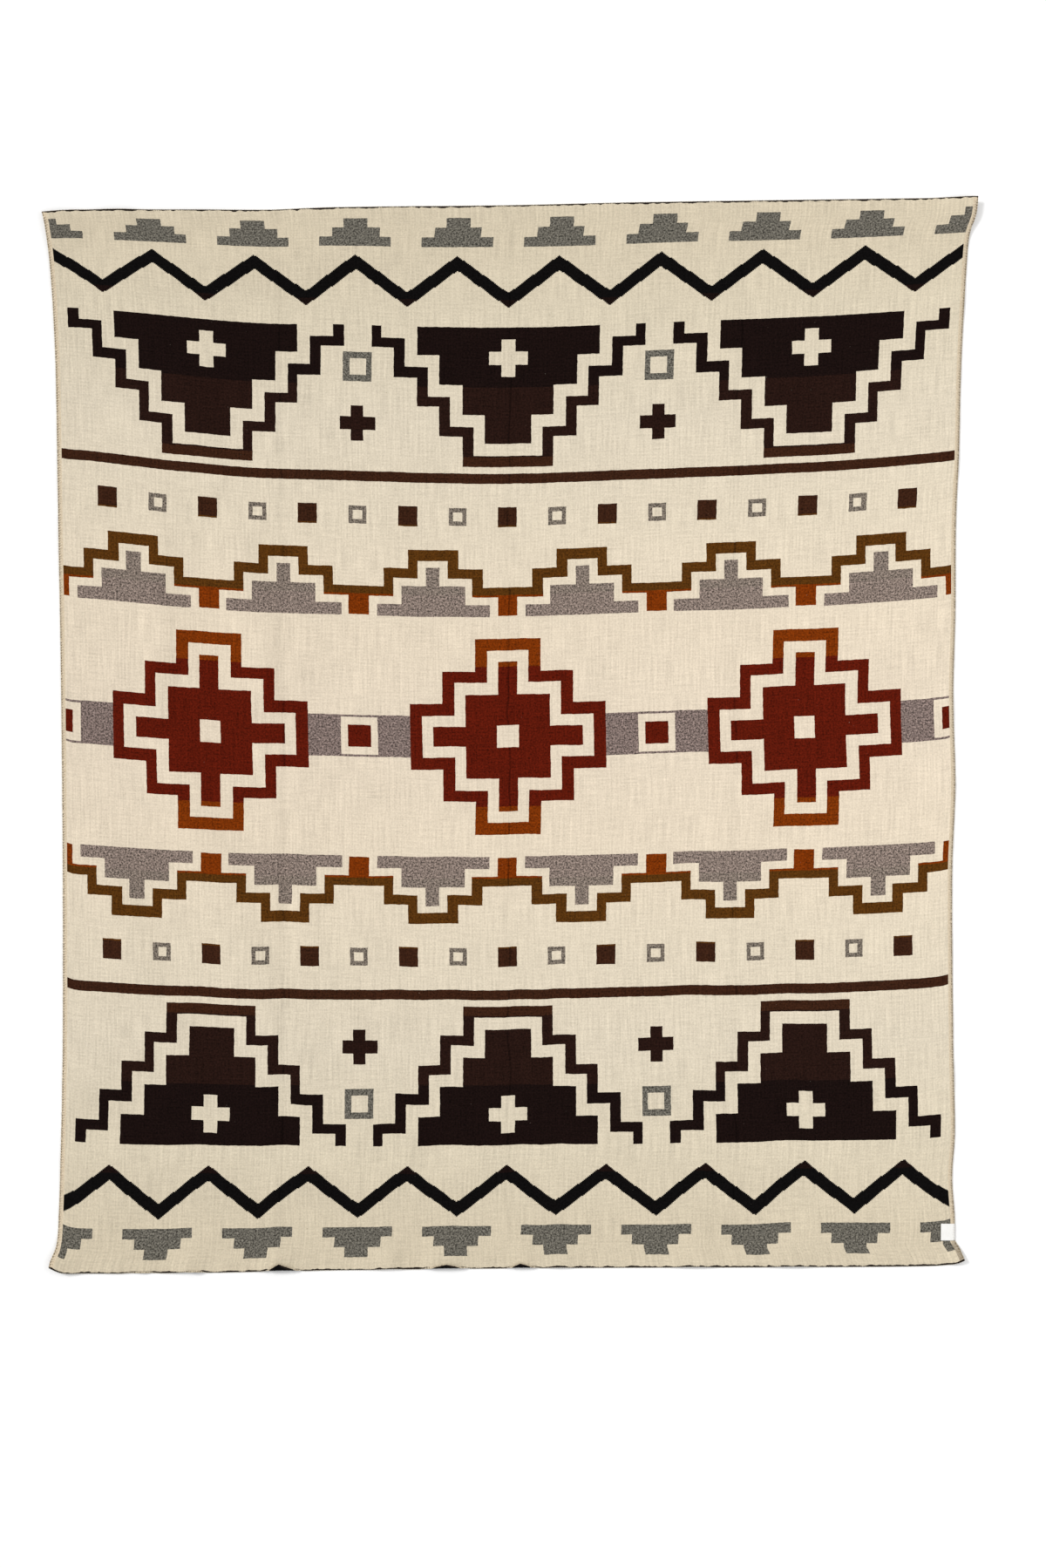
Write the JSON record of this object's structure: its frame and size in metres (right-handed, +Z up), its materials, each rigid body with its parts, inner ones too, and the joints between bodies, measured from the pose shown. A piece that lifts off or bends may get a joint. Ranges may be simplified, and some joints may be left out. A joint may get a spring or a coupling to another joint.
{
  "type": "alpaca throw",
  "caption": "Large rectangular woven throw lying flat, with soft storage creases, low rumples, a wavy lower edge and a blank sewn-on label.",
  "frame": {"origin": "middle of the throw's outline, on the surface that it lies on", "axes": "+X towards the throw's right side, where the label is, +Y towards its upper edge, +Z up out of its patterned face"},
  "size_m": [1.789, 2.0596, 0.015],
  "materials": {
    "cloth": "matte brushed double cloth, cream with dark, rust, olive and grey woven figures",
    "label": "satin ribbon, blank"
  },
  "bodies": {
    "root": {"throw": "cloth", "label": "label"}
  },
  "joints": []
}
